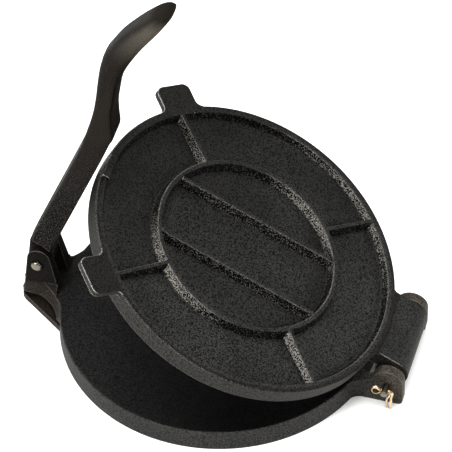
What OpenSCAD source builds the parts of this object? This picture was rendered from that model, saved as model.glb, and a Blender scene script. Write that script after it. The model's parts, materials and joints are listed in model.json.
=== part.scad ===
// Tortilla press in cast iron, standing part open.
// Millimetres. The origin is the centre of the round base, on the table.
// +X points to the plate's hinge, the lever stands at -X and +Z is up.

/* [Base] */
// Radius of the pressing plate
base_r = 102; // [90:0.5:115]
// Height of the pressing face above the table
base_h = 15; // [13:0.5:20]
// Thickness of the pressing plate
base_floor = 6; // [4:0.5:9]
// Thickness of the side wall under the plate
base_wall = 7; // [4:0.5:12]
// How much wider the side wall is at the table
base_draft = 0.4; // [0:0.1:1.5]
// Rounding of the cast top edges
edge_r = 1; // [0.5:0.1:1.5]

/* [Yoke] */
// Distance from the base's edge to the lever's pin
pivot_out = 15; // [14:0.5:23]
// Height of the lever's pin above the table
pivot_h = 35; // [33:0.5:40]
// Gap between the two cheeks
yoke_gap = 11.8; // [9:0.2:14]
// Thickness of a cheek at the height of the pin
cheek_t = 6.5; // [5:0.1:9]
// Draft angle of the cheeks' outer faces
cheek_draft = 3.5; // [0:0.5:5]
// Radius of the cheeks' round top
cheek_top_r = 7.6; // [6:0.1:8]
// Height of the round top's centre above the pin
cheek_rise = 5; // [3:0.1:5]
// Width of a cheek's foot at the table
cheek_foot = 26.8; // [24:0.1:32]
// Radius of the hollow between the yoke and the round base
neck_r = 28.4; // [24:0.2:32]
// Height of the ridge round the neck
neck_ridge_h = 9.5; // [8:0.1:11]
// Height of the flange at the neck's foot
neck_flange_h = 4; // [2.5:0.1:6]
// Depth of the pocket between the ridge and the flange
neck_pocket = 2.4; // [1:0.1:4]
// Fillet where a cheek meets the neck
cheek_fillet = 6.5; // [3:0.5:8]

/* [Upper plate] */
// How far the upper plate reaches past the base's edge
plate_over = 1.3; // [0:0.1:3]
// Height of the outer rim over the plate's underside
plate_h = 12.6; // [11:0.2:16]
// Thickness of the plate between its ribs
plate_floor = 7.4; // [5:0.2:9]
// Gap between the two pressing faces when the press is shut
face_gap = 0.2; // [0.1:0.1:1]
// Width of the flat top of the outer rim
rim_w = 5.3; // [4:0.1:8]
// Middle radius of the inner ring
ring_r = 60.6; // [50:0.2:70]
// Width of the ring's top
ring_w = 3.2; // [2:0.1:5]
// Height of the ring and the ribs over the rim
rib_rise = 1.6; // [0.5:0.1:3]
// Width of a rib's top
rib_w = 2.8; // [2:0.1:5]
// Distance of each parallel rib from the middle
rib_y = 22.7; // [15:0.1:35]
// How far a rib's wall leans out on each side
rib_draft = 1.2; // [0.5:0.1:2]
// Fillet at the foot of the ribs
rib_fillet = 1.2; // [0.5:0.1:2]
// Half of the width of a side lug
lug_half = 13; // [8:0.1:18]
// How far the lugs stand out of the plate
lug_out = 17.2; // [10:0.1:25]
// Thickness of the lugs
lug_t = 4; // [3:0.1:8]
// Radius of the lugs' outer corners
lug_corner = 4.8; // [2:0.1:8]
// Fillet between a lug and the plate
lug_fillet = 4.5; // [2:0.1:8]
// Height of the pressing pad over the rim
pad_h = 3; // [1:0.1:4]
// Half of the width of the pressing pad
pad_half = 9; // [6:0.5:12]

/* [Plate hinge] */
// Distance from the base's edge to the hinge pin
hinge_out = 15.7; // [14:0.1:28]
// Height of the hinge pin above the table
hinge_h = 15.5; // [14:0.1:20]
// Distance between the inner faces of the two ears
ear_gap = 56.4; // [40:0.2:70]
// How far the middle of the hinge is set to the far side
hinge_offset = 0.9; // [0:0.1:3]
// Thickness of an ear
ear_t = 6.2; // [4:0.1:9]
// Radius of an ear's round top
ear_r = 10; // [7:0.1:12]
// Height of the round top's centre above the pin
ear_rise = 2.1; // [0:0.1:4]
// Radius of an ear's lower corner
ear_foot_r = 3.5; // [1:0.1:6]
// Height of an ear's arm over the base, where it meets the ear
arm_rise = 3.4; // [1:0.1:4]
// Fillet between an arm and the round base
arm_fillet = 9; // [4:0.5:14]
// Radius of the tongue's barrel
barrel_r = 10.7; // [8:0.1:11]
// Gap between the tongue and the near ear
tongue_gap_near = 5; // [0.3:0.1:6]
// Gap between the tongue and the far ear
tongue_gap_far = 0.4; // [0.3:0.1:4]
// Fillet between the tongue and the plate's rim
tongue_fillet = 4; // [1:0.1:5]
// How far the upper plate stands open
open_angle = 27; // [0:1:60]

/* [Lever] */
// Width of the lever across its side faces
lever_w = 19; // [15:0.5:22]
// Distance from the pin to the outer face of the straight arm
arm_outer = 11.5; // [9:0.1:13]
// Distance from the pin to the inner face of the straight arm
arm_inner = 3.6; // [2:0.1:5]
// Length of the straight arm, from the pin to the knee
arm_length = 137; // [110:1:160]
// Length of the bent grip beyond the knee
grip_length = 123; // [100:1:150]
// How far the grip is set back behind the pin
grip_back = 18; // [12:0.5:24]
// How far the lever leans in over the plate
lever_lean = 21.2; // [12:0.2:22]
// Radius of the round foot about the pin
foot_r = 8; // [6:0.1:9.5]
// Gap between the foot and each cheek
foot_gap = 0.5; // [0.3:0.1:1]

/* [Pins] */
// Diameter of both pins
pin_d = 4.8; // [4:0.1:6]
// Gap all round a pin in its holes
pin_gap = 0.06; // [0.02:0.01:0.1]
// Diameter of the lever pin's domed head
lever_head_d = 7.6; // [6.2:0.1:9]
// Height of the lever pin's domed head
lever_head_h = 2.4; // [1.5:0.1:4]
// Diameter of the hinge pin's domed head
hinge_head_d = 9.6; // [7:0.1:12]
// Height of the hinge pin's domed head
hinge_head_h = 2.6; // [1.5:0.1:4]
// Gap between a pin's head and the iron
head_gap = 0.3; // [0.2:0.05:0.5]
// How far a pin stands out on the split pin's side
pin_out = 8; // [6:0.1:10]
// Radius of a split pin's round shank
split_r = 1.25; // [0.8:0.05:1.4]
// Gap all round a split pin in its hole
split_gap = 0.1; // [0.05:0.01:0.2]

/* [Hidden] */
$fn = 96;
far = 1;
near = -1;

iron = "#2c2a29";
steel = "#b9b8b4";
brass = "#c9a77c";

// Places that several pieces share
plate_r = base_r + plate_over;
hinge_reach = base_r + hinge_out;
pivot_x = -base_r - pivot_out;
plate_z = base_h + face_gap;
plate_top = plate_z + plate_h;
floor_top = plate_z + plate_floor;
rib_h = plate_h + rib_rise - plate_floor;
cheek_out = yoke_gap / 2 + cheek_t;
ear_near = hinge_offset - ear_gap / 2;
ear_far = hinge_offset + ear_gap / 2;
tongue_near = ear_near + tongue_gap_near;
tongue_far = ear_far - tongue_gap_far;
pin_r = pin_d / 2;
bore_r = pin_r + pin_gap;
pin_tip = 1;
cotter_inset = 0.475 * pin_out;
soft_r = 0.8;
lug_turn = -0.9;
lug_far_less = 0.8;

function arc(cx, cy, r, from, to, steps) =
    [for (i = [0 : steps]) let (a = from + (to - from) * i / steps) [cx + r * cos(a), cy + r * sin(a)]];

// Lays a shape drawn in the XY plane upright, its drawing facing -Y, between two places along Y
module upright(from, to)
    translate([0, to, 0]) rotate([90, 0, 0]) linear_extrude(to - from) children();

// A round bar along Y
module bar_y(x, z, r, from, to)
    translate([x, from, z]) rotate([-90, 0, 0]) cylinder(r = r, h = to - from);

// Puts what is drawn about the upper plate's own place at its open angle
module swung_open()
    translate([hinge_reach, 0, hinge_h]) rotate([0, open_angle, 0])
        translate([-hinge_reach, 0, -hinge_h]) children();

// Fills the corner between a circle about the origin and a bar of the given half width along X
module root_fillet(circle_r, half, r) {
    cx = sqrt(pow(circle_r + r, 2) - pow(half + r, 2));
    sunk = 0.1;
    touch = (circle_r - sunk) / (circle_r + r);
    difference() {
        polygon([[cx * touch, (half + r) * touch], [cx * touch - r, half - r], [cx, half - r], [cx, half]]);
        translate([cx, half + r]) circle(r);
    }
}

// Round base: a flat face on a drafted side wall, hollow underneath
module base_disc() {
    rotate_extrude($fn = 180)
        polygon(concat([[0, 0], [base_r + base_draft, 0]],
                       arc(base_r - edge_r, base_h - edge_r, edge_r, 0, 90, 4),
                       [[0, base_h]]));
}

module base_hollow()
    translate([0, 0, -1]) cylinder(r = base_r - base_wall, h = base_h - base_floor + 1, $fn = 180);

// The neck spreads from the yoke into the round base. A hollow sweep on each side leaves a sloping top band,
// a ridge, a pocket under it and a flange at the foot.
neck_front = pivot_x - cheek_foot / 2 + 2;
neck_front_half = cheek_out + 0.2;
neck_chamfer = 2.5;
neck_root = -0.92 * base_r;
neck_root_half = 0.39 * base_r;
neck_root_slant = 6.5;
neck_lean = 30;
neck_lip = 0.4;
neck_step = 1.9;
sweep_x = pivot_x - 9.1;
sweep_y = cheek_out + neck_r - 0.3;

module neck_sweep_cut() {
    top_r = neck_r + (base_h - neck_ridge_h) * tan(neck_lean);
    pocket_r = neck_r + neck_pocket;
    above = base_h + cheek_fillet;
    translate([sweep_x, -sweep_y, 0]) rotate_extrude()
        polygon([[0, neck_flange_h], [pocket_r, neck_flange_h], [pocket_r, neck_ridge_h - 1 - neck_lip],
                 [neck_r, neck_ridge_h - neck_lip], [neck_r, neck_ridge_h], [top_r, base_h],
                 [top_r - cheek_fillet / 4, above], [0, above]]);
}

// The neck seen from above, from its front edge to its root in the base
module neck_outline()
    polygon([[neck_front, neck_front_half - neck_chamfer], [neck_front + neck_chamfer, neck_front_half],
             [neck_root - neck_chamfer, neck_root_half - neck_root_slant], [neck_root, neck_root_half],
             [neck_root, -neck_root_half], [neck_root - neck_chamfer, neck_root_slant - neck_root_half],
             [neck_front + neck_chamfer, -neck_front_half], [neck_front, neck_chamfer - neck_front_half]]);

module yoke_neck() {
    difference() {
        union() {
            linear_extrude(base_h) neck_outline();
            for (side = [near, far]) scale([1, side, 1]) cheek_foot_fillet();
        }
        for (side = [near, far]) scale([1, -side, 1]) neck_sweep_cut();
        // The front is set back above the ridge
        translate([neck_front - 1, -cheek_out - neck_r, neck_ridge_h + neck_lip])
            cube([1 + neck_step, 2 * (cheek_out + neck_r), base_h + cheek_fillet]);
    }
}

// A bar with a hollow quarter-round face along a cheek's foot
module cheek_foot_fillet() {
    foot_y = cheek_out + (pivot_h - base_h) * tan(cheek_draft);
    root_y = cheek_out - cheek_t / 2;
    root_z = base_h - cheek_fillet / 2;
    translate([neck_front + neck_step, 0, 0]) rotate([90, 0, 90]) linear_extrude(cheek_foot - 4)
        polygon(concat([[root_y, root_z], [foot_y + cheek_fillet, root_z]],
                       arc(foot_y + cheek_fillet, base_h + cheek_fillet, cheek_fillet, 270, 180, 6),
                       [[root_y, base_h + cheek_fillet]]));
}

// One cheek: a leaning trapezoid with a round top, its outer face drafted
module cheek() {
    top = [pivot_x + 0.9, pivot_h + cheek_rise];
    shoulder = cheek_top_r * [cos(8), sin(8)];
    uncut_out = cheek_out + cheek_t;
    difference() {
        upright(yoke_gap / 2, uncut_out) {
            translate(top) circle(cheek_top_r);
            polygon([[pivot_x + cheek_foot / 2 + 1.8, neck_ridge_h], top + shoulder,
                     top + [-shoulder[0], shoulder[1]], [pivot_x - cheek_foot / 2 + 3.9, neck_ridge_h]]);
        }
        translate([pivot_x - cheek_foot, cheek_out, pivot_h]) rotate([cheek_draft, 0, 0])
            translate([0, 0, -2 * pivot_h]) cube([2 * cheek_foot, 2 * cheek_t, 4 * pivot_h]);
    }
}

// One arm with its ear, whose inner face is at the given place and whose middle is shifted along X
module hinge_ear(inner, shift) {
    ear_z = hinge_h + ear_rise;
    ear_x = hinge_reach + shift;
    right = ear_x + ear_r;
    clear_x = plate_r - arm_rise;
    upright(inner, inner + ear_t) {
        translate([ear_x, ear_z]) circle(ear_r);
        polygon(concat([[base_r - base_wall, 0]],
                       arc(right - ear_foot_r, ear_foot_r, ear_foot_r, 270, 360, 6),
                       [[right, ear_z], [ear_x - ear_r * cos(10), base_h + arm_rise],
                        [clear_x, base_h], [base_r - base_wall, base_h]]));
    }
    linear_extrude(base_h) root_fillet(base_r, inner + ear_t, arm_fillet);
}

module base() {
    color(iron) difference() {
        union() {
            base_disc();
            yoke_neck();
            for (side = [near, far]) scale([1, side, 1]) cheek();
            scale([1, near, 1]) hinge_ear(-ear_near, 0.2);
            hinge_ear(ear_far, -0.8);
        }
        base_hollow();
        bar_y(pivot_x, pivot_h, bore_r, -cheek_out - 6, cheek_out + 6);
        bar_y(hinge_reach, hinge_h, bore_r, ear_near - ear_t - 1, ear_far + ear_t + 1);
    }
}

// Half of a cast rib's outline from its middle out: flat top, rounded edge, drafted wall and foot fillet
function rib_side(half, h) =
    let (top_r = 0.75 * soft_r, foot = half + rib_draft)
    concat([[0, h]],
           arc(half - top_r, h - top_r, top_r, 90, 10, 3),
           arc(foot + rib_fillet, rib_fillet, rib_fillet, 190, 270, 4),
           [[foot + rib_fillet, -rib_fillet], [0, -rib_fillet]]);

module rib_outline(w, h) {
    polygon(rib_side(w / 2, h));
    mirror([1, 0]) polygon(rib_side(w / 2, h));
}

// A straight rib that starts at the origin and runs along X
module rib_bar(length, w, h)
    rotate([90, 0, 90]) linear_extrude(length) rib_outline(w, h);

module plate_disc() {
    rim_in = plate_r - rim_w;
    corner_r = 2.5 * soft_r;
    corner_x = rim_in - rib_draft - corner_r;
    rotate_extrude($fn = 180)
        polygon(concat([[0, plate_z]],
                       arc(plate_r - soft_r, plate_z + soft_r, soft_r, 270, 360, 3),
                       arc(plate_r - edge_r, plate_top - edge_r, edge_r, 0, 90, 4),
                       arc(rim_in + soft_r, plate_top - soft_r, soft_r, 90, 170, 3),
                       arc(corner_x, floor_top + corner_r, corner_r, 350, 270, 4),
                       [[0, floor_top]]));
}

module plate_ribs() {
    translate([0, 0, floor_top]) {
        rotate_extrude($fn = 144) translate([ring_r, 0]) rib_outline(ring_w, rib_h);
        for (side = [near, far]) {
            half_length = sqrt(pow(ring_r, 2) - pow(rib_y, 2)) - ring_w / 2;
            translate([-half_length, side * rib_y, 0]) rib_bar(2 * half_length, rib_w, rib_h);
        }
        slope = atan(rib_rise / (plate_r - rim_w - ring_r));
        for (turn = [45 : 90 : 315])
            rotate(turn) translate([ring_r, 0, 0]) rotate([0, slope, 0])
                rib_bar(plate_r - rim_w / 2 - ring_r, rib_w, rib_h);
    }
}

// A lug that points along X. One of the two came out of its mould a little smaller.
module lug(less) {
    out = plate_r + lug_out - less;
    half = lug_half - less;
    translate([0, 0, plate_top - lug_t]) linear_extrude(lug_t) {
        difference() {
            translate([plate_r - rim_w, -half]) square([out - plate_r + rim_w, 2 * half]);
            for (side = [near, far]) scale([1, side]) translate([out - lug_corner, half - lug_corner])
                difference() {
                    square(lug_corner + 1);
                    circle(lug_corner);
                }
        }
        for (side = [near, far]) scale([1, side]) root_fillet(plate_r, half, lug_fillet);
    }
}

// The lever presses on this raised pad
module pressing_pad() {
    outer = plate_r - edge_r / 2;
    round_r = 0.4 * pad_h;
    intersection() {
        rotate_extrude($fn = 180)
            polygon(concat([[outer - rim_w, plate_top - 2], [outer, plate_top - 2]],
                           arc(outer - round_r, plate_top + pad_h - round_r, round_r, 0, 90, 4),
                           arc(outer - rim_w + round_r, plate_top + pad_h - round_r, round_r, 90, 180, 4)));
        translate([-plate_r, -pad_half, plate_z]) cube([plate_r, 2 * pad_half, plate_h + pad_h + 1]);
    }
}

// The tongue reaches between the ears and turns on the hinge pin. Its fillets start above the base's arms.
module tongue() {
    fillet_z = plate_z + arm_rise + 0.6;
    translate([0, 0, fillet_z]) linear_extrude(hinge_h + barrel_r - fillet_z) {
        root_fillet(plate_r, tongue_far, tongue_fillet);
        scale([1, near]) root_fillet(plate_r, -tongue_near, tongue_fillet);
    }
    upright(tongue_near, tongue_far) {
        translate([hinge_reach, hinge_h]) circle(barrel_r);
        polygon([[plate_r - rim_w, plate_z], [hinge_reach, plate_z],
                 [hinge_reach, hinge_h + barrel_r], [plate_r - rim_w, hinge_h + barrel_r]]);
    }
}

module upper_plate() {
    color(iron) swung_open() difference() {
        union() {
            plate_disc();
            plate_ribs();
            rotate(135 + lug_turn) lug(lug_far_less);
            rotate(225 + lug_turn) lug(0);
            pressing_pad();
            tongue();
        }
        bar_y(hinge_reach, hinge_h, bore_r, tongue_near - 1, tongue_far + 1);
    }
}

// The lever is drawn upright about its pin: Z runs along the arm and +X is its inner side.
// Each station of the bar is [outer x, outer z, inner x, inner z, half width, squareness].
foot_half = yoke_gap / 2 - foot_gap;
foot_top = 20;
foot_edge = 12;
shoulder_at = [-7.5, -3];
shoulder_r = cheek_top_r + cheek_rise + 6.7;
knee = arm_length;
tip = arm_length + grip_length;
back = -grip_back;
crest = back - 7.8;
hollow = back + 8;
square_bar = 12;
round_bar = 3;
half_w = lever_w / 2;

stations = [
    [-arm_outer, foot_edge, arm_inner, foot_edge, half_w, square_bar],
    [-arm_outer, knee / 2, arm_inner, knee / 2, half_w, square_bar],
    [-arm_outer - 0.1, knee - 26, arm_inner, knee - 24, half_w, square_bar],
    [-arm_outer - 0.8, knee - 12, arm_inner - 0.3, knee - 7, half_w, square_bar],
    [-arm_outer - 1.6, knee - 4, arm_inner - 0.1, knee, half_w, square_bar],
    [-arm_outer - 2.6, knee + 6, arm_inner - 3.9, knee + 9, half_w, 10],
    [-arm_outer - 4.3, knee + 17, hollow + 5.9, knee + 19, half_w, 8],
    [back - 0.4, knee + 28, hollow + 3.4, knee + 30, half_w, 6],
    [back - 3.4, knee + 39, hollow + 1.2, knee + 41, half_w, 5],
    [back - 6.2, knee + 50, hollow + 0.1, knee + 52, half_w, 4],
    [crest, knee + 61, hollow + 0.3, knee + 61, half_w, round_bar],
    [crest + 1, tip - 53, hollow + 1.1, tip - 54, half_w, round_bar],
    [crest + 3, tip - 42, hollow + 2.5, tip - 44, half_w, round_bar],
    [crest + 6.4, tip - 31, hollow + 4.4, tip - 34, half_w, round_bar],
    [crest + 10.3, tip - 21, hollow + 6.6, tip - 24, half_w, round_bar],
    [crest + 14.1, tip - 13, hollow + 8.3, tip - 14, half_w * 0.97, round_bar],
    [crest + 17.2, tip - 7.4, hollow + 9.3, tip - 7.6, half_w * 0.84, round_bar],
    [crest + 19.8, tip - 3.4, hollow + 9.4, tip - 3.4, half_w * 0.6, round_bar],
    [crest + 22.4, tip - 0.9, hollow + 8.7, tip - 0.9, half_w * 0.34, round_bar],
    [crest + 23.6, tip, hollow + 8.2, tip, half_w * 0.12, round_bar]
];
ring_sides = 32;
ring_steps = 4;

function spline(a, b, c, d, t) =
    0.5 * (2 * b + (c - a) * t + (2 * a - 5 * b + 4 * c - d) * t * t + (3 * b - a - 3 * c + d) * t * t * t);

function smooth(list, steps) =
    let (last = len(list) - 1)
    concat([for (i = [0 : last - 1]) for (j = [0 : steps - 1])
                spline(list[max(i - 1, 0)], list[i], list[i + 1], list[min(i + 2, last)], j / steps)],
           [list[last]]);

// One rounded section: a square-shouldered oval from the outer point to the inner one
function rounded(v, squareness) = sign(v) * pow(abs(v), 2 / squareness);
function section(s) =
    let (middle = [s[0] + s[2], s[1] + s[3]] / 2, depth = [s[2] - s[0], s[3] - s[1]] / 2)
    [for (k = [0 : ring_sides - 1])
        let (a = 360 * (k + 0.5) / ring_sides, p = middle + depth * rounded(cos(a), s[5]))
        [p[0], s[4] * rounded(sin(a), s[5]), p[1]]];

module skin(rings) {
    n = ring_sides;
    last = len(rings) - 1;
    side_faces = [for (i = [0 : last - 1]) for (k = [0 : n - 1])
        let (a = i * n + k, b = i * n + (k + 1) % n)
        for (face = [[a, a + n, b], [b, a + n, b + n]]) face];
    polyhedron([for (ring = rings) for (p = ring) p],
               concat([[for (k = [0 : n - 1]) k]], side_faces,
                      [[for (k = [n - 1 : -1 : 0]) last * n + k]]), convexity = 6);
}

module lever() {
    foot_side = foot_r * [cos(20), sin(20)];
    color(iron) translate([pivot_x, 0, pivot_h]) rotate([0, lever_lean, 0]) difference() {
        union() {
            difference() {
                skin([for (s = smooth(stations, ring_steps)) section(s)]);
                // Both sides are cut back clear of the cheeks
                for (side = [near, far]) scale([1, side, 1])
                    bar_y(shoulder_at[0], shoulder_at[1], shoulder_r, foot_half, half_w + 1);
            }
            upright(-foot_half, foot_half) {
                circle(foot_r);
                polygon([[foot_side[0], -foot_side[1]], [arm_inner, foot_top], [-arm_outer, foot_top],
                         [-arm_outer, foot_edge], -foot_side]);
            }
        }
        bar_y(0, 0, bore_r, -half_w, half_w);
    }
}

// A pin along Y: a domed head at one end, a rounded tip and a cross hole at the other.
// It is drawn with its head's seat at the origin and its shank along +Y.
module pin(length, head_d, head_h) {
    hole_y = length - cotter_inset;
    head_edge = 0.2 * head_h;
    head_arc = arc(0, 0, 1, 0, 90, 8);
    color(steel) difference() {
        rotate([-90, 0, 0]) union() {
            rotate_extrude()
                polygon(concat([[0, 0], [pin_r, 0]],
                               arc(pin_r - pin_tip, length - pin_tip, pin_tip, 0, 90, 4), [[0, length]]));
            rotate_extrude()
                polygon(concat([[0, 0.01], [head_d / 2, 0.01]],
                               [for (p = head_arc)
                                   [head_d / 2 * p[0], -head_edge - (head_h - head_edge) * p[1]]]));
        }
        translate([-pin_r - 1, hole_y, 0]) rotate([0, 90, 0])
            cylinder(r = split_r + split_gap, h = 2 * pin_r + 2);
    }
}

// The split pin's half-round wire, from one leg's tip round the eye to the other's, in a pin's own place:
// +X points along the legs as they enter, Z is up and both legs turn down beyond the pin.
leg_x = pin_r + 1.1;
wire = [
    [leg_x - 1.6, -14.6], [leg_x - 1.6, -10], [leg_x - 1.4, -6.4], [leg_x - 0.4, -4.2], [leg_x + 0.3, -2.6],
    [leg_x + 0.1, -1.3], [pin_r + 0.5, -0.35], [pin_r - 0.3, -0.05], [0, -0.05], [-pin_r, -0.06],
    [-pin_r - 1.2, -1.1], [-pin_r - 3, -2.7], [-pin_r - 4.8, -2.3], [-pin_r - 5.4, -0.6],
    [-pin_r - 4.8, 1.3], [-pin_r - 3.1, 1.9], [-pin_r - 1.3, 0.8],
    [-pin_r, 0.06], [0, 0.05], [pin_r, 0.05], [pin_r + 0.9, -0.1],
    [leg_x + 0.6, -1.1], [leg_x + 0.8, -2.6], [leg_x + 0.3, -4.6], [leg_x, -7], [leg_x, -11], [leg_x, -14.8]
];
wire_sides = 10;

function wire_ring(p, along) =
    let (t = along / norm(along), out = [-t[1], t[0]])
    [for (k = [0 : wire_sides - 1])
        let (a = 180 * k / (wire_sides - 1), q = p + out * split_r * sin(a))
        [q[0], split_r * cos(a), q[1]]];

module split_pin() {
    path = smooth(wire, 3);
    last = len(path) - 1;
    rings = [for (i = [0 : last]) wire_ring(path[i], path[min(i + 1, last)] - path[max(i - 1, 0)])];
    n = wire_sides;
    faces = concat([[for (k = [n - 1 : -1 : 0]) k]],
                   [for (i = [0 : last - 1]) for (k = [0 : n - 1])
                       let (a = i * n + k, b = i * n + (k + 1) % n)
                       for (face = [[a, b, a + n], [b, b + n, a + n]]) face],
                   [[for (k = [0 : n - 1]) last * n + k]]);
    color(brass) polyhedron([for (ring = rings) for (p = ring) p], faces, convexity = 6);
}

lever_pin_length = 2 * cheek_out + 2 * head_gap + pin_out;
hinge_pin_length = ear_gap + 2 * ear_t + 2 * head_gap + pin_out;
hinge_seat = ear_far + ear_t + head_gap;

module lever_pin()
    translate([pivot_x, -cheek_out - head_gap, pivot_h]) pin(lever_pin_length, lever_head_d, lever_head_h);

module lever_cotter()
    translate([pivot_x, lever_pin_length - cheek_out - head_gap - cotter_inset, pivot_h]) split_pin();

module hinge_pin()
    translate([hinge_reach, hinge_seat, hinge_h]) rotate(180)
        pin(hinge_pin_length, hinge_head_d, hinge_head_h);

module hinge_cotter()
    translate([hinge_reach, hinge_seat - hinge_pin_length + cotter_inset, hinge_h]) split_pin();

base();
upper_plate();
lever();
lever_pin();
lever_cotter();
hinge_pin();
hinge_cotter();
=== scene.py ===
# %% [markdown]
# # A tortilla press in black cast iron
# The press is three iron castings on two steel pins, each pin held by a brass split pin. Their shapes come
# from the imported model, in metres, and this lesson gives them their skins, the light and the camera.

# %% Load the castings and pins
import json
import math
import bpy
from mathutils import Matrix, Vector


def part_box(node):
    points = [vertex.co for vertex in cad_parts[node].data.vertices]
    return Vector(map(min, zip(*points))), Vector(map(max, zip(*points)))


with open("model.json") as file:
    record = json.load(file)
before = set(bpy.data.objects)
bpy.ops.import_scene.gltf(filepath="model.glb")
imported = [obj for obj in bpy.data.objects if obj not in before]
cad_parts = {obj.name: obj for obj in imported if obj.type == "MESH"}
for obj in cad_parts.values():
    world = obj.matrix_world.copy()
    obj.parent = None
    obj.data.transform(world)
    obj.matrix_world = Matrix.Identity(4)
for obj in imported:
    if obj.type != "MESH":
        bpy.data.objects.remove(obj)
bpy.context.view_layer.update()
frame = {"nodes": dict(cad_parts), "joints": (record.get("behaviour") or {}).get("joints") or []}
import bpy
from mathutils import Matrix, Vector
bpy.ops.object.select_all(action="DESELECT")
castings = {name: frame["nodes"][name] for name in ("base", "upper_plate", "lever")}
pins = [frame["nodes"][name] for name in ("lever_pin", "hinge_pin")]
split_pins = [frame["nodes"][name] for name in ("lever_cotter", "hinge_cotter")]
for name, piece in frame["nodes"].items():
    print(name, len(piece.data.polygons), "triangles")

# %% [markdown]
# ## A few small helpers
# Colours are written as they look on a screen, and one function turns them to the linear values that the
# renderer works in. One more function adds a shader node with its settings and its inputs, where an input
# is either a plain value or another node's output. The settings that many nodes share have names too, so
# that a line of shader reads as a sentence.

# %% Colour and node helpers
in_colour = {"data_type": "RGBA"}
times, larger, less = {"operation": "MULTIPLY"}, {"operation": "MAXIMUM"}, {"operation": "SUBTRACT"}
without_sign, length_of = {"operation": "ABSOLUTE"}, {"operation": "LENGTH"}
# Along a direction: how far a place lies that way, or how fully a face looks that way
along = {"operation": "DOT_PRODUCT"}
# The Mix node has sockets for each kind of data, so its two colours and its result go by number
below, above, mixed = 6, 7, 2


def linear(hex_colour):
    """Turn a screen colour to the linear values of the renderer."""
    parts = [int(hex_colour[i:i + 2], 16) / 255 for i in (1, 3, 5)]
    return tuple(p / 12.92 if p <= 0.04045 else ((p + 0.055) / 1.055) ** 2.4 for p in parts) + (1.0,)


def add_node(material, kind, settings=None, inputs=None):
    """Add one shader node and return its outputs."""
    tree = material.node_tree
    node = tree.nodes.new("ShaderNode" + kind)
    for key, value in (settings or {}).items():
        setattr(node, key, value)
    for key, value in (inputs or {}).items():
        if isinstance(value, bpy.types.NodeSocket):
            tree.links.new(value, node.inputs[key])
        else:
            node.inputs[key].default_value = value
    return node.outputs


def new_material(name):
    """Start a material with no nodes."""
    material = bpy.data.materials.new(name)
    material.use_nodes = True
    material.node_tree.nodes.clear()
    return material


def dress(piece, material):
    """Give a piece one material all over."""
    piece.data.materials.clear()
    piece.data.materials.append(material)
    print(piece.name, "wears", material.name)


print("iron grey in linear values:", [round(c, 4) for c in linear("#333331")])

# %% [markdown]
# ## Sand-cast iron
# The castings come out of packed sand, so the skin is a fine grain over slow waves that the pattern left.
# Oil baked onto it makes it near black and a little glossy. The grain could be bump alone, but at this size
# a bump is lost between pixels, so pits and grain tops also get colours of their own. All of it is noise in
# the object's own coordinates, so it stays on the metal when the press moves.

# %% The skin that all castings share
# Foundry sand is about 0.3 mm, too fine to show here, so the grain is drawn at 0.8 mm and the pits at 1.1 mm
grains_per_metre, pits_per_metre = 1250.0, 950.0
waves_per_metre, clouds_per_metre = 75.0, 22.0
wave_height, edge_rounding, corner_reach = 0.0007, 0.0012, 0.003


def sand_skin(iron, grain_height):
    """Make the noises, the edges, the corners and the bumped normal that the colours are built on."""
    coordinates = add_node(iron, "TexCoord")
    place = coordinates["Object"]
    sand = add_node(iron, "TexNoise", inputs={"Vector": place, "Scale": grains_per_metre,
                                              "Detail": 1.0})["Fac"]
    pebbles = add_node(iron, "TexNoise", inputs={"Vector": place, "Scale": pits_per_metre,
                                                 "Detail": 1.0})["Fac"]
    waves = add_node(iron, "TexNoise", inputs={"Vector": place, "Scale": waves_per_metre})["Fac"]
    cloud = add_node(iron, "TexNoise", inputs={"Vector": place, "Scale": clouds_per_metre,
                                               "Detail": 4.0})["Fac"]
    mottle = add_node(iron, "MapRange", inputs={"Value": cloud, "From Min": 0.35,
                                                "From Max": 0.65})["Result"]
    # Every sharp cast edge has a small rounding
    rounded = add_node(iron, "Bevel", {"samples": 6}, {"Radius": edge_rounding})["Normal"]
    grain = add_node(iron, "Bump", inputs={"Height": sand, "Normal": rounded, "Distance": grain_height,
                                           "Strength": 1.0})["Normal"]
    normal = add_node(iron, "Bump", inputs={"Height": waves, "Normal": grain, "Distance": wave_height,
                                            "Strength": 0.6})["Normal"]
    # Painted shade darkens a shut-in corner, and an open outer edge is rubbed bare and painted as a highlight
    flat = add_node(iron, "NewGeometry")["True Normal"]
    same = add_node(iron, "VectorMath", along, {0: rounded, 1: flat})["Value"]
    turning = add_node(iron, "MapRange", inputs={"Value": same, "From Min": 0.985,
                                                 "From Max": 0.89})["Result"]
    open_air = add_node(iron, "AmbientOcclusion", {"samples": 4, "only_local": True},
                        {"Distance": corner_reach})["AO"]
    outer = add_node(iron, "MapRange", inputs={"Value": open_air, "From Min": 0.75,
                                               "From Max": 0.95})["Result"]
    edge = add_node(iron, "Math", times, {0: turning, 1: outer})["Value"]
    corner = add_node(iron, "MapRange", inputs={"Value": open_air, "From Min": 0.85,
                                                "From Max": 0.5})["Result"]
    return {"place": place, "facing": coordinates["Normal"], "rounded": rounded, "sand": sand,
            "pebbles": pebbles, "mottle": mottle, "edge": edge, "corner": corner, "normal": normal}


print("grain", 1000 / grains_per_metre, "mm, pits", round(1000 / pits_per_metre, 1), "mm, waves",
      round(1000 / waves_per_metre), "mm")

# %% [markdown]
# ## What lies on the skin
# From the bottom up there is the body colour with its dark pits, then a dark layer of oil and painted shade,
# then the tops of the grains that reach through it, and last the iron that is rubbed bare and painted as a
# highlight. Layers could be whole shaders mixed together, but they differ in little more than colour, so one
# shader takes a mixed colour and a mixed roughness.

# %% The layers of colour
iron_reflection_index = 1.45
# Heights in the noise, from 0 to 1, where a pit ends, where an edge is rubbed bare and where a grain shows
pit_floor, pit_edge = 0.40, 0.56
bare_start, bare_full = 0.32, 0.48
top_start, top_full = 0.62, 0.69
least_specks, speckle_lift = 0.06, 0.15


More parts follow.
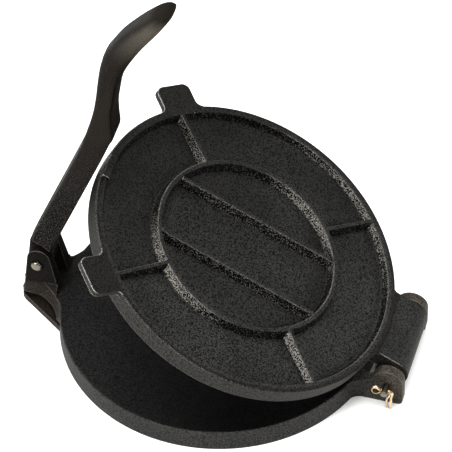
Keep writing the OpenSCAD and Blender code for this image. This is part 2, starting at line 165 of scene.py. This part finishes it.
def clouded(iron, skin, darker, lighter):
    """Make a body colour that drifts between two tones in soft clouds."""
    return add_node(iron, "Mix", in_colour, {"Factor": skin["mottle"], below: linear(darker),
                                             above: linear(lighter)})[mixed]


def finish_iron(iron, skin, body, marks, tones):
    """Lay the layers over a body colour. Marks say how much of each finish a place has, from 0 to 1."""
    hills = add_node(iron, "MapRange", inputs={"Value": skin["pebbles"], "From Min": pit_floor,
                                               "From Max": pit_edge, "To Min": tones["pit"]})["Result"]
    pitted = add_node(iron, "VectorMath", {"operation": "SCALE"}, {0: body, "Scale": hills})["Vector"]
    # Painted shade: the marked places and the shut-in corners are darkened
    dark = add_node(iron, "Math", larger, {0: marks["oiled_and_shaded"], 1: skin["corner"]})["Value"]
    oiled_and_shaded = add_node(iron, "Mix", in_colour, {"Factor": dark, below: pitted,
                                              above: linear(tones["oil_and_shade"])})[mixed]
    # The more speckled a place is, the more grains reach through the dark layer and the brighter they are
    lifted = add_node(iron, "Math", {"operation": "MULTIPLY_ADD"}, {0: marks["speckled"], 1: speckle_lift,
                                                                    2: skin["sand"]})["Value"]
    tops = add_node(iron, "MapRange", inputs={"Value": lifted, "From Min": top_start,
                                              "From Max": top_full})["Result"]
    shown = add_node(iron, "MapRange", inputs={"Value": marks["speckled"], "To Min": least_specks})["Result"]
    specks = add_node(iron, "Math", times, {0: tops, 1: shown})["Value"]
    speckled = add_node(iron, "Mix", in_colour, {"Factor": specks, below: oiled_and_shaded,
                                                 above: linear(tones["grain_top"])})[mixed]
    # An edge is rubbed bare, and painted as a highlight, only where the grain stands up
    ground = add_node(iron, "MapRange", inputs={"Value": skin["sand"], "From Min": bare_start,
                                                "From Max": bare_full})["Result"]
    bare = add_node(iron, "Math", times, {0: skin["edge"], 1: ground})["Value"]
    scraped = add_node(iron, "Math", times, {0: bare, 1: marks["exposed_and_lit"]})["Value"]
    worn_and_lit = add_node(iron, "Math", larger, {0: scraped, 1: marks["rubbed_and_lit"]})["Value"]
    colour = add_node(iron, "Mix", in_colour, {"Factor": worn_and_lit, below: speckled,
                                               above: linear(tones["rubbed_and_lit"])})[mixed]
    smooth, rough = tones["roughness"]
    gloss = add_node(iron, "MapRange", inputs={"Value": skin["pebbles"], "From Min": 0.35, "From Max": 0.65,
                                               "To Min": smooth, "To Max": rough})["Result"]
    roughness = add_node(iron, "Math", larger, {0: gloss, 1: marks["crusted"]})["Value"]
    metal = add_node(iron, "BsdfPrincipled", inputs={"Base Color": colour, "Roughness": roughness,
                                                     "IOR": iron_reflection_index,
                                                     "Specular IOR Level": tones["reflectance"],
                                                     "Normal": skin["normal"]})["BSDF"]
    add_node(iron, "OutputMaterial", inputs={"Surface": metal})


print("oiled iron reflects like a skin of index", iron_reflection_index)

# %% [markdown]
# ## The upper plate laid flat
# The plate was built standing open, but a rule about its rim, its walls or its floors is simplest on a level
# plate. So each point is first turned back about the hinge, whose place and angle come from the frame. A
# painted mask would need a map of the surface, and a rule in the plate's own axes needs none.

# %% Where a point is on the plate
plate_hinge = next(joint for joint in frame["joints"] if joint["name"] == "plate_hinge")
hinge_place = Vector(plate_hinge["pos_m"])
open_angle = math.radians(-plate_hinge["range_deg"][0])
lay_flat = (Matrix.Translation(hinge_place) @ Matrix.Rotation(-open_angle, 4, "Y")
            @ Matrix.Translation(-hinge_place))
plate_up = Vector((math.sin(open_angle), 0, math.cos(open_angle)))
to_yoke = Vector((-math.cos(open_angle), 0, math.sin(open_angle)))
to_near_side = Vector((0, -1, 0))
off_far_corner = Vector((0.8, -0.6, 0))


def plate_spot(iron, skin):
    """Say where a point is on the plate laid flat, and how steep the iron is there."""
    flat = add_node(iron, "Mapping", inputs={"Vector": skin["place"], "Location": lay_flat.to_translation(),
                                             "Rotation": lay_flat.to_euler()})["Vector"]
    across = add_node(iron, "VectorMath", times, {0: flat, 1: (1, 1, 0)})["Vector"]
    radius = add_node(iron, "VectorMath", length_of, {0: across})["Value"]
    # A wall is a face that turns away from the plate's own up
    lean = add_node(iron, "VectorMath", along, {0: skin["facing"], 1: plate_up})["Value"]
    level = add_node(iron, "Math", without_sign, {0: lean})["Value"]
    steep = add_node(iron, "MapRange", inputs={"Value": level, "From Min": 0.92, "From Max": 0.6})["Result"]
    # This grows from the far corner at the yoke to the near corner at the hinge
    from_far = add_node(iron, "VectorMath", along, {0: flat, 1: off_far_corner})["Value"]
    return {"flat": flat, "radius": radius, "steep": steep, "from_far": from_far}


print("the plate stands open by", round(math.degrees(open_angle)), "degrees about", tuple(hinge_place))

# %% [markdown]
# ## The upper plate's iron
# On the plate's back the floors are even and dark. The walls of the ring, the ribs and the rim are coarser,
# because sand breaks there as the pattern is drawn out. The walls are painted dark as shade, and on the sides
# that face the front left panel their grain tops are painted bright as highlights. The same grain runs over
# floors and walls, and only the share of it that shows changes, so the plate still reads as one casting.

# %% Marks on the plate
plate_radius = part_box("upper_plate")[1].y
rim_middle, rim_fade = plate_radius - 0.0018, 0.0015
far_corner, far_corner_end = -0.07, -0.035
# Ways that a wall or an edge faces to be painted bright, towards the front left panel and the yoke
lit_facing_way = 0.616 * to_yoke + 0.788 * to_near_side
highlight_way = 0.9 * to_yoke + 0.43 * to_near_side


def plate_marks(iron, skin, spot):
    """Painted shade on the walls inside the rim, painted bright grains where they face the light, and painted
    highlights on edges.
    """
    inside = add_node(iron, "MapRange", inputs={"Value": spot["radius"], "From Min": rim_middle,
                                                "From Max": rim_middle - 0.001})["Result"]
    # Painted shade: the walls inside the rim are darkened
    walls = add_node(iron, "Math", times, {0: spot["steep"], 1: inside})["Value"]
    # Painted highlight: walls that face the yoke and the near side, towards the front left panel, show bright
    # grains
    facing_light = add_node(iron, "VectorMath", along, {0: skin["facing"], 1: lit_facing_way})["Value"]
    lit_share = add_node(iron, "MapRange", inputs={"Value": facing_light, "From Min": 0.7, "From Max": 0.98,
                                               "To Min": 0.2})["Result"]
    # Painted shade: fewer bright grains towards the far corner at the yoke
    light_falloff = add_node(iron, "MapRange", inputs={"Value": spot["from_far"], "From Min": far_corner,
                                                 "From Max": far_corner_end, "To Min": 0.72})["Result"]
    lit_share = add_node(iron, "Math", times, {0: lit_share, 1: light_falloff})["Value"]
    lit_specks = add_node(iron, "Math", times, {0: walls, 1: lit_share})["Value"]
    crust_and_shade = add_node(iron, "Math", times, {0: walls, 1: 0.9})["Value"]
    # Painted highlight: only the edges that face the yoke are made bright
    toward_highlight = add_node(iron, "VectorMath", along, {0: skin["rounded"], 1: highlight_way})["Value"]
    exposed_and_lit = add_node(iron, "MapRange", inputs={"Value": toward_highlight, "From Min": 0.1,
                                                 "From Max": 0.4})["Result"]
    return {"oiled_and_shaded": walls, "speckled": lit_specks, "rubbed_and_lit": 0.0, "exposed_and_lit": exposed_and_lit, "crusted": crust_and_shade}


print("the plate is", round(2000 * plate_radius, 1), "mm across")

# %% Colours of the plate
def plate_colour(iron, skin, spot):
    """Grey floors with painted shade towards the far corner, a darker rim, a grey tongue and an outer wall
    with painted shade.
    """
    grey = clouded(iron, skin, "#323230", "#3d3d3b")
    # Painted shade: the floors are darker towards the far corner
    far_shade = add_node(iron, "MapRange", inputs={"Value": spot["from_far"], "From Min": -0.08,
                                              "From Max": 0.02, "To Min": 0.6})["Result"]
    floors = add_node(iron, "VectorMath", {"operation": "SCALE"}, {0: grey, "Scale": far_shade})["Vector"]
    at_rim = add_node(iron, "MapRange", inputs={"Value": spot["radius"], "From Min": rim_middle - rim_fade,
                                                "From Max": rim_middle})["Result"]
    colour = add_node(iron, "Mix", in_colour, {"Factor": at_rim, below: floors,
                                               above: linear("#242321")})[mixed]
    lengthwise = add_node(iron, "SeparateXYZ", inputs={"Vector": spot["flat"]})["X"]
    on_tongue = add_node(iron, "MapRange", inputs={"Value": lengthwise, "From Min": plate_radius - 0.0003,
                                                   "From Max": plate_radius + 0.0017,
                                                   "To Max": 0.7})["Result"]
    colour = add_node(iron, "Mix", in_colour, {"Factor": on_tongue, below: colour, above: grey})[mixed]
    # Painted shade: the outer wall is darkest where it faces the lever
    past_rim = add_node(iron, "MapRange", inputs={"Value": spot["radius"], "From Min": plate_radius - 0.0009,
                                                  "From Max": plate_radius - 0.0001})["Result"]
    outer_wall = add_node(iron, "Math", times, {0: spot["steep"], 1: past_rim})["Value"]
    to_lever = add_node(iron, "VectorMath", along, {0: skin["facing"], 1: to_yoke})["Value"]
    shaded = add_node(iron, "MapRange", inputs={"Value": to_lever, "From Min": 0.75,
                                                "From Max": 0.95})["Result"]
    wall = add_node(iron, "Mix", in_colour, {"Factor": shaded, below: linear("#3a3835"),
                                             above: linear("#181716")})[mixed]
    return add_node(iron, "Mix", in_colour, {"Factor": outer_wall, below: colour, above: wall})[mixed]


print("the rim's colour starts", round(1000 * (rim_middle - rim_fade), 1), "mm from the middle")

# %% Iron for the upper plate
def plate_iron():
    """Dark iron with an even grain on the floors, and walls in painted shade with bright dots of painted
    light.
    """
    iron = new_material("sand_cast_iron_plate")
    skin = sand_skin(iron, grain_height=0.0012)
    spot = plate_spot(iron, skin)
    finish_iron(iron, skin, plate_colour(iron, skin, spot), plate_marks(iron, skin, spot),
                {"pit": 0.12, "oil_and_shade": "#030303", "grain_top": "#918e87", "rubbed_and_lit": "#d8d4cc",
                 "roughness": (0.38, 0.5), "reflectance": 0.09})
    return iron


dress(castings["upper_plate"], plate_iron())

# %% [markdown]
# ## The base's iron
# The round pressing face is darker than the rest, and painted darker still towards the hinge as the shade
# of the open plate. Round the yoke and the hinge the oil has burnt brown; the cheeks are painted darker as
# shade and the hinge lighter as light. Each region is found by its place on the casting, as the base stands
# straight in the frame's axes.

# %% Where a point is on the base
# The pressing face is 204 mm across, and the yoke and the ears begin at its edge
face_radius, face_height = 0.102, 0.015
plate_shade_start, plate_shade_deepest = -0.065, 0.03


def base_spot(iron, skin):
    """Say how far a point belongs to the pressing face, the yoke, its cheeks and the hinge."""
    place = add_node(iron, "SeparateXYZ", inputs={"Vector": skin["place"]})
    across = add_node(iron, "VectorMath", times, {0: skin["place"], 1: (1, 1, 0)})["Vector"]
    radius = add_node(iron, "VectorMath", length_of, {0: across})["Value"]
    inside = add_node(iron, "MapRange", inputs={"Value": radius, "From Min": face_radius,
                                                "From Max": face_radius - 0.0015})["Result"]
    facing = add_node(iron, "SeparateXYZ", inputs={"Vector": skin["facing"]})
    upturned = add_node(iron, "MapRange", inputs={"Value": facing["Z"], "From Min": 0.9,
                                                  "From Max": 0.98})["Result"]
    pressing = add_node(iron, "Math", times, {0: upturned, 1: inside})["Value"]
    at_yoke = add_node(iron, "MapRange", inputs={"Value": place["X"], "From Min": 0.010 - face_radius,
                                                 "From Max": -0.002 - face_radius})["Result"]
    on_cheek = add_node(iron, "MapRange", inputs={"Value": place["Z"], "From Min": face_height,
                                                  "From Max": face_height + 0.006})["Result"]
    at_hinge = add_node(iron, "MapRange", inputs={"Value": place["X"], "From Min": face_radius - 0.007,
                                                  "From Max": face_radius + 0.013})["Result"]
    # Painted shade of the open plate deepens on the pressing face from the yoke towards the hinge
    depth = add_node(iron, "MapRange", inputs={"Value": place["X"], "From Min": plate_shade_start,
                                               "From Max": plate_shade_deepest})["Result"]
    return {"pressing": pressing, "at_yoke": at_yoke, "on_cheek": on_cheek, "at_hinge": at_hinge,
            "depth": depth}


print("pressing face", round(2000 * face_radius), "mm across,", round(1000 * face_height), "mm high")

# %% Iron for the base
def base_colour(iron, skin, spot):
    """Grey outside, brown at the yoke and the hinge with painted shade on the cheeks and painted light at the
    hinge, and black on the pressing face with painted shade towards the hinge.
    """
    grey = clouded(iron, skin, "#363635", "#3f3e3d")
    foot_brown = clouded(iron, skin, "#17130e", "#282119")
    # Painted shade: the cheeks are a darker copy of the brown; painted light: the hinge is a lighter copy
    cheek_brown_shaded = clouded(iron, skin, "#080605", "#130f0b")
    hinge_brown_lit = clouded(iron, skin, "#3d3932", "#524c43")
    yoke = add_node(iron, "Mix", in_colour, {"Factor": spot["on_cheek"], below: foot_brown,
                                             above: cheek_brown_shaded})[mixed]
    outside = add_node(iron, "Mix", in_colour, {"Factor": spot["at_yoke"], below: grey, above: yoke})[mixed]
    outside = add_node(iron, "Mix", in_colour, {"Factor": spot["at_hinge"], below: outside,
                                                above: hinge_brown_lit})[mixed]
    oil_and_shade = add_node(iron, "Mix", in_colour, {"Factor": spot["depth"], below: linear("#232323"),
                                            above: linear("#020202")})[mixed]
    return add_node(iron, "Mix", in_colour, {"Factor": spot["pressing"], below: outside,
                                             above: oil_and_shade})[mixed]


def base_iron():
    """Grey-black iron, rough and crusted on the cheeks of the yoke."""
    iron = new_material("sand_cast_iron_base")
    skin = sand_skin(iron, grain_height=0.0006)
    spot = base_spot(iron, skin)
    crust_and_shade = add_node(iron, "Math", times, {0: spot["at_yoke"], 1: spot["on_cheek"]})["Value"]
    crust_and_shade = add_node(iron, "Math", times, {0: crust_and_shade, 1: 0.85})["Value"]
    finish_iron(iron, skin, base_colour(iron, skin, spot),
                {"oiled_and_shaded": 0.0, "speckled": 0.0, "rubbed_and_lit": 0.0, "exposed_and_lit": 0.6, "crusted": crust_and_shade},
                {"pit": 0.15, "oil_and_shade": "#050505", "grain_top": "#6a6863", "rubbed_and_lit": "#7d766a",
                 "roughness": (0.5, 0.62), "reflectance": 0.12})
    return iron


dress(castings["base"], base_iron())

# %% [markdown]
# ## The lever's iron
# The lever is handled, so it is browner towards the grip. A soft painted highlight lies in the middle of the
# grip, and painted shade on the edge that faces up, at the tip and in the hollow beside the knee. The
# highlight is a soft ball round one point of the grip, which is simpler than a painted mask and as soft.

# %% Where a point is on the lever
# Heights are above the table, with the lever as it stands at rest
brown_above, speckled_below = 0.16, 0.09
knee_height, tip_start, tip_end = 0.182, 0.262, 0.272
grip_highlight_place, grip_highlight_reach = Vector((-0.037, -0.0095, 0.262)), 0.045
knee_reach, knee_core = 0.055, 0.035
back_and_up, to_plate = Vector((-0.77, 0, 0.64)), Vector((1, 0, 0))


def lever_spot(iron, skin):
    """Say how far a point belongs to the low stretch, the grip's painted highlight, and the painted shade on
    the hollow, the tip and the upper edge.
    """
    height = add_node(iron, "SeparateXYZ", inputs={"Vector": skin["place"]})["Z"]
    low_down = add_node(iron, "MapRange", inputs={"Value": height, "From Min": brown_above,
                                                  "From Max": speckled_below})["Result"]
    # Painted highlight: a soft ball of light round one point of the grip
    from_grip_highlight = add_node(iron, "VectorMath", {"operation": "DISTANCE"},
                         {0: skin["place"], 1: grip_highlight_place})["Value"]
    grip_highlight = add_node(iron, "MapRange", {"interpolation_type": "SMOOTHSTEP"},
                    {"Value": from_grip_highlight, "From Min": grip_highlight_reach, "From Max": 0.0, "To Max": 0.75})["Result"]
    # Painted shade goes on the upper edge, which looks back and up, and on the hollow, which looks at the
    # plate
    backwards = add_node(iron, "VectorMath", along, {0: skin["facing"], 1: back_and_up})["Value"]
    back = add_node(iron, "MapRange", inputs={"Value": backwards, "From Min": 0.1, "From Max": 0.9})["Result"]
    forwards = add_node(iron, "VectorMath", along, {0: skin["facing"], 1: to_plate})["Value"]
    inward = add_node(iron, "MapRange", inputs={"Value": forwards, "From Min": 0.15,
                                                "From Max": 0.6})["Result"]
    over_knee = add_node(iron, "Math", less, {0: height, 1: knee_height})["Value"]
    from_knee = add_node(iron, "Math", without_sign, {0: over_knee})["Value"]
    near_knee = add_node(iron, "MapRange", inputs={"Value": from_knee, "From Min": knee_reach,
                                                   "From Max": knee_core})["Result"]
    hollow = add_node(iron, "Math", times, {0: inward, 1: near_knee})["Value"]
    # Painted shade at the tip
    tip = add_node(iron, "MapRange", inputs={"Value": height, "From Min": tip_start,
                                             "From Max": tip_end})["Result"]
    return {"low_down": low_down, "grip_highlight": grip_highlight, "back": back, "hollow": hollow, "tip": tip}


# %% Iron for the lever
def lever_marks(iron, spot):
    """Painted shade on the upper edge, the tip and the hollow, and a painted highlight patch where they leave
    it.
    """
    speckle = add_node(iron, "Math", times, {0: spot["low_down"], 1: 0.4})["Value"]
    shaded_edge_and_tip = add_node(iron, "Math", larger, {0: spot["back"], 1: spot["tip"]})["Value"]
    shaded_edge_and_tip = add_node(iron, "Math", times, {0: shaded_edge_and_tip, 1: 0.85})["Value"]
    crust_and_shade = add_node(iron, "Math", larger, {0: shaded_edge_and_tip, 1: spot["hollow"]})["Value"]
    clean = add_node(iron, "Math", less, {0: 1.0, 1: crust_and_shade})["Value"]
    lit_patch = add_node(iron, "Math", times, {0: spot["grip_highlight"], 1: clean})["Value"]
    dull = add_node(iron, "Math", times, {0: spot["low_down"], 1: 0.75})["Value"]
    dull = add_node(iron, "Math", larger, {0: dull, 1: spot["hollow"]})["Value"]
    dull = add_node(iron, "Math", larger, {0: dull, 1: spot["tip"]})["Value"]
    return {"oiled_and_shaded": crust_and_shade, "speckled": speckle, "rubbed_and_lit": lit_patch, "exposed_and_lit": clean, "crusted": dull}


def lever_iron():
    """Brown-black iron, neutral and speckled low down, with a painted highlight on the grip."""
    iron = new_material("sand_cast_iron_lever")
    skin = sand_skin(iron, grain_height=0.0009)
    spot = lever_spot(iron, skin)
    brown = clouded(iron, skin, "#17120d", "#241d15")
    black = clouded(iron, skin, "#060505", "#0f0d0c")
    body = add_node(iron, "Mix", in_colour, {"Factor": spot["low_down"], below: brown, above: black})[mixed]
    finish_iron(iron, skin, body, lever_marks(iron, spot),
                {"pit": 0.15, "oil_and_shade": "#0a0806", "grain_top": "#6b665c", "rubbed_and_lit": "#5c564d",
                 "roughness": (0.5, 0.62), "reflectance": 0.08})
    return iron


dress(castings["lever"], lever_iron())

# %% [markdown]
# ## Steel pins and brass split pins
# The pins are drawn steel rod gone a little dull, with fine streaks along it. The split pins are soft
# half-round brass wire with a thin pale plating that has rubbed through in places. Both are real metals in
# the shader, so what they mirror gives them most of their look.

# %% Steel
# Drawing marks are far under 0.1 mm, too fine to show, so they are drawn about 1 mm wide and 8 mm long
streaks_per_metre = (900.0, 120.0, 900.0)


def drawn_steel():
    """Dull bright metal with fine streaks along the pin."""
    steel = new_material("drawn_steel")
    place = add_node(steel, "TexCoord")["Object"]
    stretched = add_node(steel, "Mapping", inputs={"Vector": place, "Scale": streaks_per_metre})["Vector"]
    streaks = add_node(steel, "TexNoise", inputs={"Vector": stretched, "Scale": 1.0})["Fac"]
    marks = add_node(steel, "Bump", inputs={"Height": streaks, "Distance": 0.00003,
                                            "Strength": 0.5})["Normal"]
    rough = add_node(steel, "MapRange", inputs={"Value": streaks, "From Min": 0.3, "From Max": 0.7,
                                                "To Min": 0.22, "To Max": 0.36})["Result"]
    metal = add_node(steel, "BsdfPrincipled", inputs={"Base Color": linear("#726d63"), "Metallic": 1.0,
                                                      "Roughness": rough, "Normal": marks})["BSDF"]
    add_node(steel, "OutputMaterial", inputs={"Surface": metal})
    return steel


steel = drawn_steel()
for pin in pins:
    dress(pin, steel)

# %% Brass
# The plating has worn through in patches of about 3 mm
patches_per_metre = 320.0


def brass_wire():
    """Warm yellow wire under a pale plating worn in patches."""
    brass = new_material("plated_brass_wire")
    place = add_node(brass, "TexCoord")["Object"]
    patches = add_node(brass, "TexNoise", inputs={"Vector": place, "Scale": patches_per_metre,
                                                  "Detail": 3.0})["Fac"]
    plated = add_node(brass, "MapRange", inputs={"Value": patches, "From Min": 0.42,
                                                 "From Max": 0.62})["Result"]
    colour = add_node(brass, "Mix", in_colour, {"Factor": plated, below: linear("#c39a6b"),
                                                above: linear("#ddd3c2")})[mixed]
    dents = add_node(brass, "Bump", inputs={"Height": patches, "Distance": 0.00005,
                                            "Strength": 0.4})["Normal"]
    metal = add_node(brass, "BsdfPrincipled", inputs={"Base Color": colour, "Metallic": 1.0,
                                                      "Roughness": 0.3, "Normal": dents})["BSDF"]
    add_node(brass, "OutputMaterial", inputs={"Surface": metal})
    return brass


brass = brass_wire()
for split_pin in split_pins:
    dress(split_pin, brass)

# %% [markdown]
# ## The floor and the sky
# A pale floor carries the press and shows its shadow. Seen from the camera, and in gloss, the floor is lifted
# to white, except close under the iron. The lift could be more light, but that would bleach the iron too, so
# it is in the floor's own material and only for the rays that see the background.

# %% Floor and world
floor_width, shadow_reach, sky_strength = 14.0, 0.04, 0.36
white = (1, 1, 1, 1)


def pale_floor():
    """Pale paper that is lifted to white for the rays that see the background."""
    paper = new_material("pale_floor")
    rays = add_node(paper, "LightPath")
    mirrored = add_node(paper, "Math", larger, {0: rays["Is Glossy Ray"],
                                                1: rays["Is Transmission Ray"]})["Value"]
    seen = add_node(paper, "Math", larger, {0: rays["Is Camera Ray"], 1: mirrored})["Value"]
    sheet = add_node(paper, "BsdfPrincipled", inputs={"Base Color": linear("#d8d8d6"), "Roughness": 0.9,
                                                      "Specular IOR Level": 0.1})["BSDF"]
    # Close under the iron the lift fades with ambient occlusion, which paints a contact shadow there
    open_sky = add_node(paper, "AmbientOcclusion", {"samples": 8}, {"Distance": shadow_reach})["AO"]
    lift = add_node(paper, "MapRange", inputs={"Value": open_sky, "From Min": 0.2, "From Max": 0.6,
                                               "To Max": 0.75})["Result"]
    glow = add_node(paper, "Emission", inputs={"Color": white, "Strength": lift})["Emission"]
    lifted = add_node(paper, "AddShader", inputs={0: sheet, 1: glow})["Shader"]
    shown = add_node(paper, "MixShader", inputs={0: seen, 1: sheet, 2: lifted})["Shader"]
    add_node(paper, "OutputMaterial", inputs={"Surface": shown})
    return paper


bpy.ops.mesh.primitive_plane_add(size=floor_width, location=(0, 0, 0))
floor = bpy.context.object
floor.name = "floor"
floor.data.materials.append(pale_floor())

world = bpy.data.worlds.new("studio")
world.use_nodes = True
world.node_tree.nodes.clear()
bpy.context.scene.world = world
sky = add_node(world, "Background", inputs={"Color": white, "Strength": sky_strength})["Background"]
add_node(world, "OutputWorld", inputs={"Surface": sky})
print("floor", tuple(round(v, 1) for v in floor.dimensions))

# %% [markdown]
# ## The lights
# A large soft light hangs overhead and shapes the floors of the plate. A small panel stands low at the front
# left and draws the walls of the ribs and the rim, and a weak fill beside the camera opens the sides that
# face it. Two more stand behind the press and beside its hinge, for views from the back. They would glare
# off its level faces, so they light it without gloss.

# %% Lights
def soft_light(name, place, aim_height, width, power):
    """Add a square soft light at a place, aimed at a point over the middle of the press."""
    lamp = bpy.data.lights.new(name, "AREA")
    lamp.size, lamp.energy = width, power
    holder = bpy.data.objects.new(name, lamp)
    holder.location = place
    look = Vector((0, 0, aim_height)) - Vector(place)
    holder.rotation_euler = look.to_track_quat("-Z", "Y").to_euler()
    bpy.context.collection.objects.link(holder)
    print(name, "at", place, power, "W")
    return holder


soft_light("overhead_softbox", (0.0, 0.0, 1.6), aim_height=0.05, width=1.0, power=15.5)
soft_light("front_left_panel", (-0.9, -1.15, 0.9), aim_height=0.07, width=0.3, power=22.0)
soft_light("camera_side_fill", (0.7, -1.2, 1.2), aim_height=0.1, width=0.6, power=5.0)
back_light = soft_light("back_softbox", (-0.6, 1.5, 0.4), aim_height=0.12, width=0.45, power=30.0)
hinge_light = soft_light("hinge_side_softbox", (1.6, 0.3, 0.25), aim_height=0.12, width=0.45, power=16.0)
for lamp in (back_light, hinge_light):
    lamp.visible_glossy = False

# %% [markdown]
# ## The camera
# The press is seen from in front and well above, through a long lens that hardly narrows the far side. The
# camera is turned by its angles rather than aimed at a point, so that its slight roll can be given too.

# %% Camera
camera_place = Vector((0.5250, -1.7368, 2.0837))
azimuth, elevation, roll = math.radians(16.68), math.radians(47.65), math.radians(-0.872)
lens = bpy.data.cameras.new("camera")
lens.sensor_width, lens.lens = 36.0, 345.6
lens.clip_start, lens.clip_end = 0.1, 30.0
camera = bpy.data.objects.new("camera", lens)
bpy.context.collection.objects.link(camera)
camera.matrix_world = (Matrix.Translation(camera_place) @ Matrix.Rotation(azimuth, 4, "Z")
                       @ Matrix.Rotation(math.pi / 2 - elevation, 4, "X") @ Matrix.Rotation(roll, 4, "Z"))
bpy.context.scene.camera = camera
bpy.context.scene.view_settings.view_transform = "Standard"
print("camera", round(camera_place.length, 2), "m away, looking down by",
      round(math.degrees(elevation)), "degrees")
